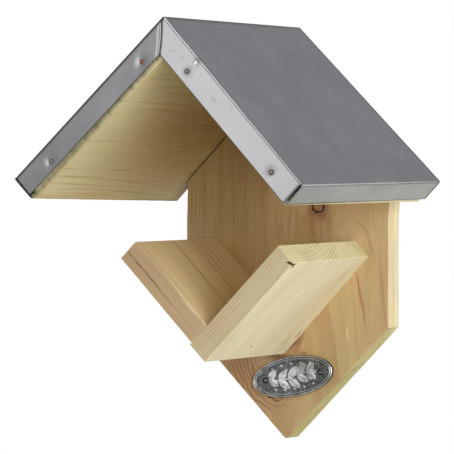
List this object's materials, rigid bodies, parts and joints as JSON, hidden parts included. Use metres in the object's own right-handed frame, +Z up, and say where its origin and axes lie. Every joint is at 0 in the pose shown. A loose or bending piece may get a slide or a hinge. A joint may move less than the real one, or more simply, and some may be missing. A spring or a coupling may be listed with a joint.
{
  "type": "bird feeding house",
  "caption": "Wall-hung wooden bird feeding house with a metal-clad gable roof, a pointed back board and an open V-shaped trough that holds a food jar.",
  "frame": {"origin": "middle of the keyhole's round hole in the hanger plate, on the back plane that lies on the wall", "axes": "+Z up, +Y out of the back into the wall so the front faces -Y, +X to the right seen from the front"},
  "size_m": [0.2136, 0.1907, 0.2822],
  "materials": {
    "pine_back": "planed raw pine, warm",
    "pine_roof": "planed raw pine, pale",
    "pine_tray": "planed raw pine, pale",
    "zinc_sheet": "dull zinc-coated sheet",
    "steel": "plain wire nails",
    "pewter": "cast, dark in the hollows"
  },
  "bodies": {
    "root": {"back_board": "pine_back", "roof_board_left": "pine_roof", "roof_board_right": "pine_roof", "roof_sheet": "zinc_sheet", "tray_board_left": "pine_tray", "tray_board_right": "pine_tray", "plaque": "pewter", "hanger_plate": "steel", "fascia_nails_left": "steel", "fascia_nails_right": "steel", "roof_nails_left": "steel", "roof_nails_right": "steel", "ridge_nails": "steel", "tray_screws_left": "steel", "tray_screws_right": "steel", "tray_joint_nail": "steel", "plaque_pins": "steel", "hanger_screws": "steel"}
  },
  "joints": []
}
